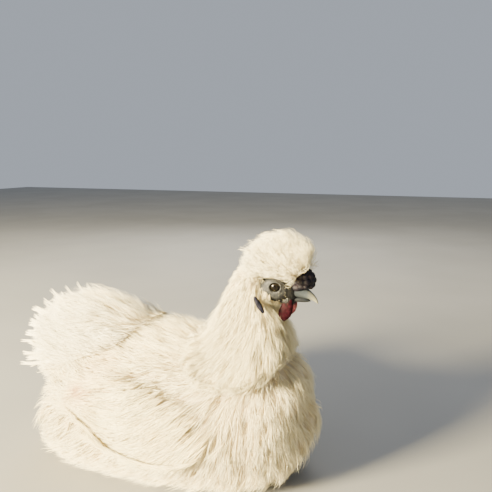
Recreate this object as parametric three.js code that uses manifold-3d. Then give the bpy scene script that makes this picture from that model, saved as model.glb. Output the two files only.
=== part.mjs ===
// A white silkie chicken at rest with its feet tucked under, life size, in millimetres.
// +X is the way the bird faces, +Y is its left, +Z is up, and the floor is z = 0 under its belly.
// The body, neck, crest and tail are smooth cores with flat tapered locks of plumage that overlap along its lie.
import * as THREE from 'three';
import { mergeVertices } from 'three/addons/utils/BufferGeometryUtils.js';
import Module from 'manifold-3d';

const wasm = await Module();
wasm.setup();

// Driving dimensions
const GAP = 0.35; // air between one node and the next
const COAT = 11; // height of the lock tips over the core of the body
const NECK_COAT = 10;
const CREST_COAT = 13;
const TAIL_COAT = 17;
const SINK = 3.5; // how deep a lock's root goes into its core
const FLOOR_CLEARANCE = 0.8; // locks near the floor stop this far above it
const HEAD = new THREE.Vector3(89, 0, 197); // middle of the head, level with the eyes
const EYE_RADIUS = 6.4;
const EYE = new THREE.Vector3(2.6, 10.0, 2.6); // left eyeball, from the middle of the head
const ROUNDNESS = 2.2; // of a section's upper half, where 2 is round
const LEG_SPREAD = 32; // each leg's distance from the mirror plane

// Section rows of each form: x, z, tilt in degrees, half width, height above and below the spine,
// and how square the lower half is, where 2 is round.
// The torso's rows run from the breast to the rear, and so do its feathers.
const TORSO_ROWS = [
  [133, 84, 0, 0, 0, 0, 2.2],
  [128, 82, 0, 32, 30, 38, 2.2],
  [114, 78, 0, 57, 50, 60, 2.2],
  [90, 74, 0, 75, 66, 72, 2.3],
  [55, 72, 0, 87, 72, 77, 2.4],
  [10, 70, 0, 93, 74, 75, 2.7],
  [-40, 70, 0, 93, 80, 75, 3.2],
  [-85, 65, 0, 88, 78, 70, 3.6],
  [-120, 56, 0, 81, 66, 60, 3.6],
  [-148, 47, 0, 70, 49, 46, 3.1],
  [-168, 40, 0, 50, 30, 35, 2.6],
  [-178, 36, 0, 0, 0, 0, 2.4],
];
// The neck's rows run from the head down, with the throat side as their upper side.
const NECK_ROWS = [
  [66, 221, -90, 0, 0, 0],
  [66, 215, -90, 22, 15, 14],
  [64, 204, -90, 28, 22, 21],
  [62, 189, -90, 31, 27, 28],
  [62, 172, -90, 38, 37, 37],
  [61, 155, -90, 46, 46, 42],
  [60, 138, -90, 57, 51, 47],
  [57, 121, -90, 72, 52, 52],
  [54, 104, -90, 60, 40, 44],
  [52, 95, -90, 0, 0, 0],
];
// The crest's rows run from the forehead back over the crown.
const CREST_ROWS = [
  [129, 222, 0, 0, 0, 0],
  [126, 221, 0, 17, 16, 16],
  [115, 217, 0, 27, 29, 22],
  [99, 216, 0, 32, 36, 24],
  [82, 216, 0, 34, 34, 22],
  [67, 216, 0, 29, 24, 18],
  [57, 216, 0, 17, 13, 12],
  [52, 216, 0, 0, 0, 0],
];
// The tail's rows run from the rump to the feather tips.
const TAIL_ROWS = [
  [-48, 100, -33, 0, 0, 0],
  [-60, 107, -33, 50, 40, 40],
  [-84, 121, -30, 64, 44, 56],
  [-112, 129, -20, 62, 46, 74],
  [-145, 126, -5, 54, 49, 82],
  [-176, 117, 3, 42, 42, 76],
  [-196, 108, 6, 26, 30, 56],
  [-206, 102, 8, 0, 0, 0],
];
// The head is the bare face and the skull under the crest, given from the middle of the head.
const HEAD_ROWS = [
  [-24, 3, 0, 0, 0, 0],
  [-20, 3, 0, 10, 10, 10],
  [-8, 2, 0, 15.5, 13, 15],
  [4, 1, 0, 15.5, 12, 16],
  [13, -1, 0, 11.5, 9.5, 13.5],
  [20, -3, 0, 8, 6, 9.5],
  [24, -4, 0, 0, 0, 0],
];
const BEAK_UPPER_ROWS = [
  [10, -3, 0, 0, 0, 0],
  [14, -3, 0, 8, 6, 5.5],
  [22, -3, 0, 7.4, 6.4, 5.6],
  [30, -4.5, 0, 5.4, 5.4, 4.6],
  [36.5, -7.5, 0, 3.2, 3.8, 3.2],
  [40.5, -11, 0, 1.5, 2.2, 1.8],
  [42, -13.6, 0, 0, 0, 0],
];
const BEAK_LOWER_ROWS = [
  [9, -10.6, 0, 0, 0, 0],
  [12, -10.6, 0, 6.2, 2, 4],
  [22, -10.6, 0, 5.4, 1.6, 3.6],
  [30, -10.9, 0, 3.6, 1.4, 2.6],
  [35, -11.8, 0, 0, 0, 0],
];

// Numbers from a seeded generator, so every build is the same.
function seeded(seed) {
  let state = seed;
  return () => {
    state = (state + 0x6d2b79f5) | 0;
    let mixed = Math.imul(state ^ (state >>> 15), 1 | state);
    mixed = (mixed + Math.imul(mixed ^ (mixed >>> 7), 61 | mixed)) ^ mixed;
    return ((mixed ^ (mixed >>> 14)) >>> 0) / 4294967296;
  };
}

const mix = (a, b, s) => a + (b - a) * s;
const ease = (s) => s * s * (3 - 2 * s);
const radians = THREE.MathUtils.degToRad;

// A closed solid from points and triangles, turned to face outwards.
function solidFrom(points, triangles) {
  const vertProperties = new Float32Array(points.length * 3);
  points.forEach((p, i) => vertProperties.set([p.x, p.y, p.z], i * 3));
  const make = (list) =>
    new wasm.Manifold(new wasm.Mesh({ numProp: 3, vertProperties, triVerts: new Uint32Array(list.flat()) }));
  const solid = make(triangles);
  return solid.volume() > 0 ? solid : make(triangles.map(([a, b, c]) => [a, c, b]));
}

// A closed solid from rings of equal length between two end points. Its diagonals alternate round the ring,
// so a flat blade is split alike on both faces.
function skinRings(start, rings, end) {
  const points = [start, ...rings.flat(), end];
  const around = rings[0].length;
  const at = (ring, i) => 1 + ring * around + (i % around);
  const triangles = [];
  for (let i = 0; i < around; i++) {
    triangles.push([0, at(0, i + 1), at(0, i)]);
    triangles.push([points.length - 1, at(rings.length - 1, i), at(rings.length - 1, i + 1)]);
    for (let ring = 0; ring + 1 < rings.length; ring++) {
      const [a, b, c, d] = [at(ring, i), at(ring, i + 1), at(ring + 1, i + 1), at(ring + 1, i)];
      if (i % 2) triangles.push([a, b, d], [b, c, d]);
      else triangles.push([a, b, c], [a, c, d]);
    }
  }
  return solidFrom(points, triangles);
}

// A three.js geometry as a solid.
function solidOf(geometry) {
  const bare = geometry.clone();
  bare.deleteAttribute('normal');
  bare.deleteAttribute('uv');
  const merged = mergeVertices(bare, 1e-4);
  const place = merged.getAttribute('position');
  const points = Array.from({ length: place.count }, (_, i) => new THREE.Vector3().fromBufferAttribute(place, i));
  const index = Array.from(merged.index.array);
  const triangles = [];
  for (let i = 0; i < index.length; i += 3) triangles.push(index.slice(i, i + 3));
  return solidFrom(points, triangles);
}

function ellipsoid(centre, radii, around = 12, along = 8) {
  const geometry = new THREE.SphereGeometry(1, around, along);
  geometry.scale(radii.x, radii.y, radii.z);
  geometry.translate(centre.x, centre.y, centre.z);
  return solidOf(geometry);
}

// The pieces as one closed body: only the largest closed surface is kept.
function fuse(pieces) {
  return largest(wasm.Manifold.union(pieces));
}

function largest(solid) {
  return solid.decompose().reduce((best, one) => (one.volume() > best.volume() ? one : best));
}

function cutClear(solid, ...others) {
  return largest(others.reduce((left, other) => left.subtract(other), solid));
}

// A smooth form: oval sections along a spine in a mirror plane, read between rows by a smooth curve.
class Form {
  constructor(rows, shape = {}) {
    const { origin = new THREE.Vector3(), lift = () => 0, floor = -Infinity } = shape;
    this.rows = rows;
    this.origin = origin;
    this.lift = lift;
    this.floor = floor;
    this.last = rows.length - 1;
  }

  section(t) {
    const s = THREE.MathUtils.clamp(t, 0, this.last);
    const i = Math.min(Math.floor(s), this.last - 1);
    const f = s - i;
    const row = (k) => this.rows[THREE.MathUtils.clamp(k, 0, this.last)];
    return this.rows[i].map((_, column) => {
      const [a, b, c, d] = [row(i - 1)[column], row(i)[column], row(i + 1)[column], row(i + 2)[column]];
      return b + 0.5 * f * (c - a + f * (2 * a - 5 * b + 4 * c - d + f * (3 * (b - c) + d - a)));
    });
  }

  bare(t, angle) {
    const [x, z, tilt, width, above, below, square = ROUNDNESS] = this.section(t);
    const [c, s] = [Math.cos(angle), Math.sin(angle)];
    const power = 2 / (s > 0 ? ROUNDNESS : square);
    const side = Math.sign(c) * Math.abs(c) ** power * Math.max(width, 0);
    const up = Math.sign(s) * Math.abs(s) ** power * Math.max(s > 0 ? above : below, 0);
    const turn = radians(tilt);
    return new THREE.Vector3(x - up * Math.sin(turn), side, z + up * Math.cos(turn)).add(this.origin);
  }

  centre(t) {
    const [x, z] = this.section(t);
    return new THREE.Vector3(x, 0, z).add(this.origin);
  }

  // Directions along the spine and round the section, and the outward normal.
  tangents(t, angle) {
    const s = THREE.MathUtils.clamp(t, 0.04, this.last - 0.04);
    const along = this.bare(s + 0.03, angle).sub(this.bare(s - 0.03, angle)).divideScalar(0.06);
    const round = this.bare(s, angle + 0.04).sub(this.bare(s, angle - 0.04)).divideScalar(0.08);
    const normal = new THREE.Vector3().crossVectors(along, round).normalize();
    const outward = this.bare(s, angle).sub(this.centre(s));
    if (normal.dot(outward) < 0) normal.negate();
    return { along, round, normal };
  }

  point(t, angle, extra = 0) {
    const { normal } = this.tangents(t, angle);
    const p = this.bare(t, angle).addScaledVector(normal, this.lift(t, angle) + extra);
    p.z = Math.max(p.z, this.floor);
    return p;
  }

  // The place a step further along a heading, kept on the surface.
  walk(t, angle, heading, step) {
    const { along, round } = this.tangents(t, angle);
    const [aa, rr, ar] = [along.dot(along), round.dot(round), along.dot(round)];
    const [ha, hr] = [heading.dot(along), heading.dot(round)];
    const det = Math.max(aa * rr - ar * ar, 1e-6);
    let dt = (ha * rr - hr * ar) / det;
    let da = (hr * aa - ha * ar) / det;
    const moved = along.clone().multiplyScalar(dt).addScaledVector(round, da).length();
    const scale = step / Math.max(moved, 1e-6);
    const next = t + dt * scale;
    return next < 0 ? [-next, angle + da * scale + Math.PI] : [next, angle + da * scale];
  }

  solid(stations, around, extra = 0) {
    const rings = stations.map((t) =>
      Array.from({ length: around }, (_, i) => this.point(t, (i / around) * 2 * Math.PI, extra)),
    );
    const tip = (t, beside) => {
      const p = this.bare(t, 0);
      const inward = this.centre(beside).sub(p).normalize();
      const p2 = p.addScaledVector(inward, -(this.lift(t, Math.PI / 2) + extra));
      p2.z = Math.max(p2.z, this.floor);
      return p2;
    };
    return skinRings(tip(0, 0.5), rings, tip(this.last, this.last - 0.5));
  }
}

// Even stations between the two poles of a form.
function stations(from, to, count) {
  return Array.from({ length: count }, (_, i) => mix(from, to, i / (count - 1)));
}

// A flat tapered blade along a spine of points with normals; it is a flattened diamond in section.
function blade(spine, width, thickness, grow = 0) {
  const count = spine.length;
  const rings = [];
  for (let i = 0; i < count - 1; i++) {
    const s = lengthShare(i / (count - 1));
    const { p, n } = spine[i];
    const ahead = spine[i + 1].p.clone().sub(spine[Math.max(i - 1, 0)].p).normalize();
    const side = new THREE.Vector3().crossVectors(n, ahead).normalize();
    const up = new THREE.Vector3().crossVectors(ahead, side).normalize();
    const half = (width / 2) * bladeOutline(s) + 3 * grow;
    const thick = (thickness / 2) * mix(1, 0.45, s) + 1.3 * grow;
    rings.push([
      p.clone().addScaledVector(side, half),
      p.clone().addScaledVector(up, thick),
      p.clone().addScaledVector(side, -half),
      p.clone().addScaledVector(up, -thick),
    ]);
  }
  const tip = spine[count - 1].p.clone();
  const before = spine[count - 2].p;
  tip.addScaledVector(tip.clone().sub(before).normalize(), 3 * grow);
  rings.flat().concat([tip]).forEach((p) => {
    p.z = Math.max(p.z, FLOOR_CLEARANCE - grow);
  });
  const root = rings[0].reduce((sum, p) => sum.add(p), new THREE.Vector3()).multiplyScalar(1 / 4);
  return skinRings(root, rings, tip);
}

// A blade's breadth from its root (0) to its tip (1).
const bladeOutline = (s) => (0.62 + 0.38 * Math.sin(Math.PI * Math.min(1, 1.25 * s + 0.1))) * (1 - s ** 4);

// A lock that leaves a form's surface at its root and bends up to its tip along a heading field.
// Its sway turns it sideways more and more towards the tip.
function lockOn(form, place, lie, { length, width, thickness, rise, early = 0.75, steps = 3, sway = 0 }, grow = 0) {
  const spine = [];
  let here = place;
  let ahead = null;
  for (let i = 0; i <= steps; i++) {
    const s = lengthShare(i / steps);
    const lift = mix(-SINK, rise, 1.1 * ease(Math.min(1, s * early + 0.1)));
    const step = length * (lengthShare((i + 1) / steps) - s);
    const { normal } = form.tangents(...here);
    const p = ahead ? ahead : form.point(...here, lift);
    p.z = Math.max(p.z, FLOOR_CLEARANCE + thickness / 2);
    spine.push({ p, n: normal });
    const past = i > 0 && here[0] > form.last - 0.45;
    const heading = past ? p.clone().sub(spine[i - 1].p) : lie(p);
    heading.normalize().applyAxisAngle(normal, sway * s);
    if (past) ahead = p.clone().addScaledVector(heading, step);
    else here = form.walk(...here, heading, step);
  }
  return blade(spine, width, thickness, grow);
}

// The steps of a lock grow shorter towards its tip, which rounds it.
const lengthShare = (s) => 1 - (1 - Math.min(s, 1)) ** 1.3;

// Tiers of locks over a form. Each tier is a place along the form, the angles where it starts and ends,
// and the count on one side. Both sides get the same tiers with their own scatter.
function locksOver(form, tiers, lie, look, { seed, grow = 0, skip = () => false }) {
  const random = seeded(seed);
  const locks = [];
  for (const [t, from, to, count] of tiers) {
    for (const side of [1, -1]) {
      for (let i = 0; i < count; i++) {
        const spread = (to - from) / count;
        const a = radians(from + spread * (i + mix(0.38, 0.62, random())));
        const place = [t + mix(-0.08, 0.08, random()), side > 0 ? a : Math.PI - a];
        const length = look.length * mix(0.88, 1.12, random());
        const width = look.width * mix(0.9, 1.08, random());
        const sway = mix(-0.35, 0.35, random());
        if (skip(form.point(...place, look.rise), ...place)) continue;
        locks.push(lockOn(form, place, lie, { ...look, length, width, sway }, grow));
      }
    }
  }
  return locks;
}

// Feather lie: the way plumage points at a place on the body.
function bodyLie(p) {
  const front = THREE.MathUtils.smoothstep(p.x, 20, 120);
  const low = THREE.MathUtils.smoothstep(110 - p.z, 0, 60);
  const floor = THREE.MathUtils.smoothstep(45 - p.z, 0, 40);
  return new THREE.Vector3(-1 + 0.75 * front * (1 - floor), 0, (-0.12 - 0.75 * low - 1.5 * front) * (1 - 0.85 * floor));
}
const neckLie = (p) => new THREE.Vector3(-0.25, 0, -1).addScaledVector(new THREE.Vector3(p.x - 62, p.y, 0), 0.004);
const crestLie = (p) => p.clone().sub(new THREE.Vector3(121, 0, 203));
const tailLie = (p) => p.clone().sub(new THREE.Vector3(-60, 0, 112));

// The core sinks below the coat, and reaches the coat's outside where the bird rests on the floor.
const torsoDepth = (t, angle) => -COAT * THREE.MathUtils.smoothstep(Math.sin(angle), -0.95, -0.45);
const torso = new Form(TORSO_ROWS, { lift: torsoDepth, floor: 0 });
const neckDepth = (t) => -NECK_COAT * mix(0.4, 1, THREE.MathUtils.smoothstep(t, 1, 4));
const neck = new Form(NECK_ROWS, { lift: neckDepth });
const crest = new Form(CREST_ROWS, { lift: () => -CREST_COAT });
const tail = new Form(TAIL_ROWS, { lift: () => -TAIL_COAT });
const head = new Form(HEAD_ROWS, { origin: HEAD });
const beakUpper = new Form(BEAK_UPPER_ROWS, { origin: HEAD });
const beakLower = new Form(BEAK_LOWER_ROWS, { origin: HEAD });

// Where another node covers the torso, so no lock grows
const underNeck = (p) => ((p.x - 57) / 52) ** 2 + (p.y / 70) ** 2 < 0.85 && p.z > 100;
const underTail = (p) => 0.83 * (-55 - p.x) + 0.55 * (p.z - 160) > -8 && Math.abs(p.y) < 66;
const overLegs = (p) => p.z < 16 && p.x > -50 && p.x < 70;

const TORSO_LOOK = { length: 62, width: 34, thickness: 2.6, rise: COAT };
const TORSO_TIERS = [
  [9.5, -30, 60, 2],
  [8.5, -32, 76, 3],
  [7.5, -32, 84, 4],
  [6.6, -32, 88, 4],
  [5.8, -32, 88, 4],
  [5.0, -32, 86, 4],
  [4.2, -36, 80, 4],
  [3.4, -46, 80, 4],
  [2.6, -56, 78, 4],
  [1.8, -70, 80, 4],
  [1.1, -70, 10, 1],
];
function torsoSolid(grow = 0) {
  const skip = (p, t, angle) => underNeck(p) || underTail(p) || overLegs(p) || underWing(t, angle);
  const core = torso.solid(stations(0.5, 10.6, 13), 20, grow);
  return fuse([core, ...locksOver(torso, TORSO_TIERS, bodyLie, TORSO_LOOK, { seed: 3, grow, skip })]);
}

// The hackle: narrow locks from behind the face down to a cape over the shoulders.
const NECK_LOOK = { length: 48, width: 26, thickness: 2.2, rise: NECK_COAT };
const NECK_TIERS = [
  [5.9, -84, 88, 5],
  [4.5, -82, 88, 5],
  [3.1, -84, 80, 4],
  [1.7, -80, 50, 3],
];
function neckSolid(grow = 0) {
  const core = neck.solid(stations(0.4, 8.5, 9), 16, grow);
  return fuse([core, ...locksOver(neck, NECK_TIERS, neckLie, NECK_LOOK, { seed: 7, grow })]);
}

// The powder puff: locks that part in front and arch over the crown to every side.
const CREST_LOOK = { length: 36, width: 21, thickness: 2.2, rise: CREST_COAT, early: 1.25 };
const CREST_TIERS = [
  [0.6, -30, 80, 2],
  [1.5, -30, 86, 3],
  [2.8, -26, 86, 4],
  [4.3, -24, 84, 3],
];
function crestSolid(grow = 0) {
  const core = crest.solid(stations(0.4, 6.6, 8), 14, grow);
  return fuse([core, ...locksOver(crest, CREST_TIERS, crestLie, CREST_LOOK, { seed: 5, grow })]);
}

// The tail: a fan of soft vanes in three tiers over its core.
const TAIL_LOOK = { length: 78, width: 28, thickness: 2.4, rise: TAIL_COAT, early: 0.95 };
const TAIL_TIERS = [
  [4.3, -66, 80, 4],
  [3.2, -60, 84, 5],
  [2.1, -40, 86, 4],
];
function tailSolid(grow = 0) {
  const core = tail.solid(stations(0.5, 6.6, 8), 16, grow);
  return fuse([core, ...locksOver(tail, TAIL_TIERS, tailLie, TAIL_LOOK, { seed: 9, grow })]);
}

// The wing lies folded on the torso's flank: u runs from shoulder to tip, v round the section.
const flank = new Form(TORSO_ROWS);
const WING = { shoulder: 3.9, tip: 7.55, halfHeight: 33, girth: 88, outside: 2, depth: COAT + 1 };
const wingHalf = (u) => WING.halfHeight * Math.sin(Math.PI * u ** 0.72) ** 0.75;
const wingMiddle = (u) => radians(mix(4, 17, u ** 0.7));
function wingPlace(side, u, v) {
  const angle = wingMiddle(u) + (wingHalf(u) / WING.girth) * 0.86 * Math.cos(v);
  return [mix(WING.shoulder, WING.tip, u), side > 0 ? angle : Math.PI - angle];
}

function underWing(t, angle) {
  const u = (t - WING.shoulder) / (WING.tip - WING.shoulder);
  if (u < 0.28 || u > 0.96) return false;
  const a = Math.cos(angle) > 0 ? angle : Math.PI - angle;
  return Math.abs(a - wingMiddle(u)) * WING.girth < wingHalf(u) - 4;
}

// Tiers of vanes from the wing's tip forward: where each starts, from its upper to its lower edge.
// The vanes of the upper edge point down and those of the lower edge up, so they meet at the tip.
const VANE_LOOK = { length: 58, width: 19, thickness: 2, rise: 8 };
const WING_TIERS = [
  { u: [0.64, 0.6], across: [0.7, -0.6], count: 4 },
  { u: [0.44, 0.34], across: [0.85, -0.85], count: 4 },
  { u: [0.24, 0.14], across: [0.8, -0.8], count: 3 },
  { u: [0.06, 0.03], across: [0.5, -0.6], count: 2 },
];
function wingSolid(side, grow = 0) {
  const place = (u, v) => {
    const outside = WING.outside * THREE.MathUtils.smoothstep(u, -0.1, 0.35) + grow;
    const lift = Math.sin(v) > 0 ? outside * Math.sin(v) : (WING.depth + grow) * Math.sin(v);
    return flank.point(...wingPlace(side, u, v), lift);
  };
  const rings = stations(0.04, 0.95, 7).map((u) =>
    Array.from({ length: 10 }, (_, i) => place(u, (i / 10) * 2 * Math.PI + 0.3)),
  );
  const slab = skinRings(place(0, Math.PI / 2), rings, place(1, Math.PI / 2));
  const random = seeded(21);
  const vanes = WING_TIERS.flatMap(({ u: [first, last], across, count }) =>
    stations(0, 1, count).map((s) => {
      const u = mix(first, last, s) + mix(-0.02, 0.02, random());
      const angle = wingMiddle(u) + (wingHalf(u) / WING.girth) * mix(across[0], across[1], s);
      const start = [mix(WING.shoulder, WING.tip, u), side > 0 ? angle : Math.PI - angle];
      const look = { ...VANE_LOOK, length: VANE_LOOK.length * mix(0.92, 1.08, random()) };
      return lockOn(flank, start, () => new THREE.Vector3(-1, 0, mix(-0.4, 0.08, s)), look, grow);
    }),
  );
  return fuse([slab, ...vanes]);
}

const onHead = (x, y, z) => new THREE.Vector3(x, y, z).add(HEAD);

function eyeball(side, grow = 0) {
  const radius = EYE_RADIUS + grow;
  return ellipsoid(onHead(EYE.x, side * EYE.y, EYE.z), new THREE.Vector3(radius, radius, radius), 12, 8);
}

function headSolid() {
  const lids = [1, -1].map((side) => {
    const ring = new THREE.TorusGeometry(5.3, 1.0, 4, 12);
    ring.scale(1, 0.86, 1.5);
    ring.rotateX(Math.PI / 2);
    ring.translate(EYE.x, side * 14.6, EYE.z);
    ring.translate(HEAD.x, HEAD.y, HEAD.z);
    return solidOf(ring);
  });
  const skull = head.solid(stations(0.5, 5.6, 8), 16);
  return cutClear(fuse([skull, ...lids]), eyeball(1, GAP), eyeball(-1, GAP), beakUpperPlain(GAP), beakLowerPlain(GAP));
}

const beakUpperPlain = (grow = 0) => beakUpper.solid(stations(0.5, 5.6, 9), 14, grow);
const beakLowerPlain = (grow = 0) => beakLower.solid(stations(0.5, 3.6, 6), 12, grow);

function beakUpperSolid() {
  const nostrils = [1, -1].map((side) => ellipsoid(onHead(22, side * 6.6, -0.6), new THREE.Vector3(2.2, 1.4, 0.9), 8, 6));
  return cutClear(beakUpperPlain(), beakLowerPlain(GAP), ...nostrils);
}

// The walnut comb: a low cushion of rounded bulbs over the base of the beak.
const COMB_MIDDLE = onHead(29, 0, 9);
function combSolid(grow = 0) {
  const random = seeded(11);
  const radii = new THREE.Vector3(8.2 + grow, 9.5 + grow, 10.5 + grow);
  const bulbs = [ellipsoid(COMB_MIDDLE, radii, 10, 6)];
  for (let ring = 0; ring < 3; ring++) {
    const count = [3, 5, 4][ring];
    for (let i = 0; i < count; i++) {
      const turn = ((i + 0.5 * (ring % 2)) / count - 0.5) * radians(250);
      const height = radians([52, 14, -24][ring]);
      const direction = new THREE.Vector3(
        Math.cos(turn) * Math.cos(height),
        Math.sin(turn) * Math.cos(height),
        Math.sin(height),
      );
      const centre = COMB_MIDDLE.clone().add(direction.multiply(radii).multiplyScalar(0.86));
      const size = mix(3.3, 4.6, random()) + grow;
      bulbs.push(ellipsoid(centre, new THREE.Vector3(size, size, size * 0.9), 6, 4));
    }
  }
  return fuse(bulbs);
}

// A wattle: a rounded hanging lobe, thin from side to side.
function wattleSolid(side, grow = 0) {
  const rows = [
    [13.5, -9.5, 3.2, 1.6],
    [12.6, -15, 5.4, 2.4],
    [11.8, -21, 6.6, 2.6],
    [11.4, -26, 6.0, 2.3],
    [11.2, -29.5, 3.6, 1.6],
  ];
  const rings = rows.map(([x, z, length, thick]) =>
    Array.from({ length: 12 }, (_, i) => {
      const a = (i / 12) * 2 * Math.PI;
      const out = side * (8.2 + 0.05 * (-9 - z));
      return onHead(x + (length + grow) * Math.cos(a), out + (thick + grow) * Math.sin(a), z);
    }),
  );
  return skinRings(onHead(13.5, side * 8, -7.5 + grow), rings, onHead(11.2, side * 9.2, -31.5 - grow));
}

function earlobeSolid(side, grow = 0) {
  const lobe = new THREE.SphereGeometry(1, 12, 8);
  lobe.scale(4.2 + grow, 2.2 + grow, 10.5 + grow);
  lobe.rotateY(radians(-32));
  lobe.translate(-11.5, side * 26.5, -13.5);
  lobe.translate(HEAD.x, HEAD.y, HEAD.z);
  return solidOf(lobe);
}

// A leg folded flat under the body: shank, foot and five toes with claws, on small flats on the floor.
const HOCK = new THREE.Vector3(-42, LEG_SPREAD - 3, 10);
const ANKLE = new THREE.Vector3(10, LEG_SPREAD, 8.6);
const TOES = [
  { turn: 24, length: 30, size: 4.0 },
  { turn: 1, length: 37, size: 4.3 },
  { turn: -24, length: 31, size: 4.0 },
  { turn: -150, length: 15, size: 3.4 },
  { turn: -120, length: 20, size: 3.4 },
];

// A round limb along points with a radius at each.
function limb(points, radii, around = 5) {
  const rings = points.map((p, i) => {
    const ahead = points[Math.min(i + 1, points.length - 1)].clone().sub(points[Math.max(i - 1, 0)]).normalize();
    const side = new THREE.Vector3(0, 0, 1).cross(ahead).normalize();
    const up = ahead.clone().cross(side);
    return Array.from({ length: around }, (_, k) => {
      const a = (k / around) * 2 * Math.PI;
      return p.clone().addScaledVector(side, radii[i] * Math.cos(a)).addScaledVector(up, radii[i] * Math.sin(a));
    });
  });
  const start = points[0].clone().addScaledVector(points[0].clone().sub(points[1]).normalize(), radii[0] * 0.5);
  const end = points.at(-1).clone().addScaledVector(points.at(-1).clone().sub(points.at(-2)).normalize(), 0.8);
  return skinRings(start, rings, end);
}

function legSolid(side, pocket = false) {
  const grow = pocket ? 2 : 0;
  const mirror = (p) => new THREE.Vector3(p.x, side * p.y, p.z);
  const [hock, ankle] = [mirror(HOCK), mirror(ANKLE)];
  const middle = hock.clone().lerp(ankle, 0.5);
  const foot = ankle.clone().add(new THREE.Vector3(5, 0, -1));
  const pieces = [limb([hock, middle, ankle, foot], [9, 7, 7.5, 6].map((r) => r + grow), 6)];
  for (const { turn, length, size } of TOES) {
    const heading = new THREE.Vector3(Math.cos(radians(turn)), side * Math.sin(radians(turn)), 0);
    const along = (share, z) => ankle.clone().addScaledVector(heading, length * share).setZ(z);
    const points = [along(0, 7), along(0.45, size + 1.4), along(0.8, size * 0.75), along(0.84, size * 0.7), along(1, 1)];
    if (pocket) pieces.push(limb([points[0], along(1.03, size * 0.7)], [size + 3.2, size + 2.4], 4));
    else pieces.push(limb(points, [size, size, size * 0.85, size * 0.5, 0.7]));
  }
  if (pocket) return fuse(pieces);
  const below = new THREE.BoxGeometry(400, 400, 20).translate(0, 0, -10);
  return cutClear(fuse(pieces), solidOf(below));
}

// Each node's colour and finish
const PLUMAGE = { color: 0xf4efe4, roughness: 0.95, metalness: 0 };
const FACE = { color: 0x3c3f4c, roughness: 0.75, metalness: 0 };
const COMB = { color: 0x1d1420, roughness: 0.6, metalness: 0 };
const WATTLE = { color: 0x6b1520, roughness: 0.6, metalness: 0 };
const EARLOBE = { color: 0x3a3d58, roughness: 0.6, metalness: 0 };
const BEAK = { color: 0x8b9aa3, roughness: 0.4, metalness: 0 };
const EYEBALL = { color: 0x15120c, roughness: 0.08, metalness: 0 };
const LEG = { color: 0x4a4c55, roughness: 0.8, metalness: 0 };

const bird = new THREE.Group();
function addNode(name, solid, finish) {
  const { numProp, vertProperties, triVerts } = solid.getMesh();
  const geometry = new THREE.BufferGeometry();
  const places = new THREE.BufferAttribute(new Float32Array(vertProperties), numProp);
  geometry.setAttribute('position', places);
  geometry.setIndex(new THREE.BufferAttribute(new Uint32Array(triVerts), 1));
  geometry.computeVertexNormals();
  const mesh = new THREE.Mesh(geometry, new THREE.MeshStandardMaterial(finish));
  mesh.name = name;
  bird.add(mesh);
}

const both = (make) => [1, -1].map(make);
const torsoGrown = torsoSolid(GAP);
const neckGrown = neckSolid(GAP);
const crestGrown = crestSolid(GAP);
const headGrown = head.solid(stations(0.5, 5.6, 8), 16, GAP);
const beaksGrown = [beakUpperPlain(GAP), beakLowerPlain(GAP)];
const wingsGrown = both((side) => wingSolid(side, GAP));
const wattlesGrown = both((side) => wattleSolid(side, GAP));
const earlobesGrown = both((side) => earlobeSolid(side, GAP));
// The bare skin round each eye and the face of each earlobe stay clear of plumage.
const bare = (x, y, z, radii) => both((side) => ellipsoid(onHead(x, side * y, z), new THREE.Vector3(...radii), 10, 6));
const bareSkin = [...bare(EYE.x + 1, 18, EYE.z - 2, [10.5, 9, 9.5]), ...bare(-10.5, 33, -14, [8, 9.5, 11])];

addNode('torso', cutClear(torsoSolid(), ...both((side) => legSolid(side, true))), PLUMAGE);
const faceCuts = [headGrown, ...beaksGrown, ...wattlesGrown, ...earlobesGrown, ...bareSkin];
addNode('neck', cutClear(neckSolid(), torsoGrown, crestGrown, ...faceCuts), PLUMAGE);
addNode('crest', cutClear(crestSolid(), combSolid(GAP), ...faceCuts), PLUMAGE);
addNode('tail', cutClear(tailSolid(), torsoGrown, ...wingsGrown), PLUMAGE);
addNode('head', headSolid(), FACE);
addNode('comb', cutClear(combSolid(), headGrown, beaksGrown[0]), COMB);
addNode('beak_upper', beakUpperSolid(), BEAK);
addNode('beak_lower', beakLowerPlain(), BEAK);
for (const side of [1, -1]) {
  const name = side > 0 ? 'left' : 'right';
  addNode('wing_' + name, cutClear(wingSolid(side), torsoGrown, neckGrown), PLUMAGE);
  addNode('eye_' + name, eyeball(side), EYEBALL);
  addNode('wattle_' + name, cutClear(wattleSolid(side), headGrown, ...beaksGrown), WATTLE);
  addNode('earlobe_' + name, cutClear(earlobeSolid(side), headGrown), EARLOBE);
  addNode('leg_' + name, legSolid(side), LEG);
}

export default bird;
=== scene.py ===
"""A white silkie chicken at rest: one skin under a coat of fine plumes, with a bare face and tucked feet.

Sizes are in millimetres, in the same frame as the solids: +X ahead, +Y to the bird's left, +Z up. They become
metres where a mesh is made; only the lamps and the camera are in metres.
"""

import math

import bpy
import numpy as np
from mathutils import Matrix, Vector
from numpy.random import default_rng


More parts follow.
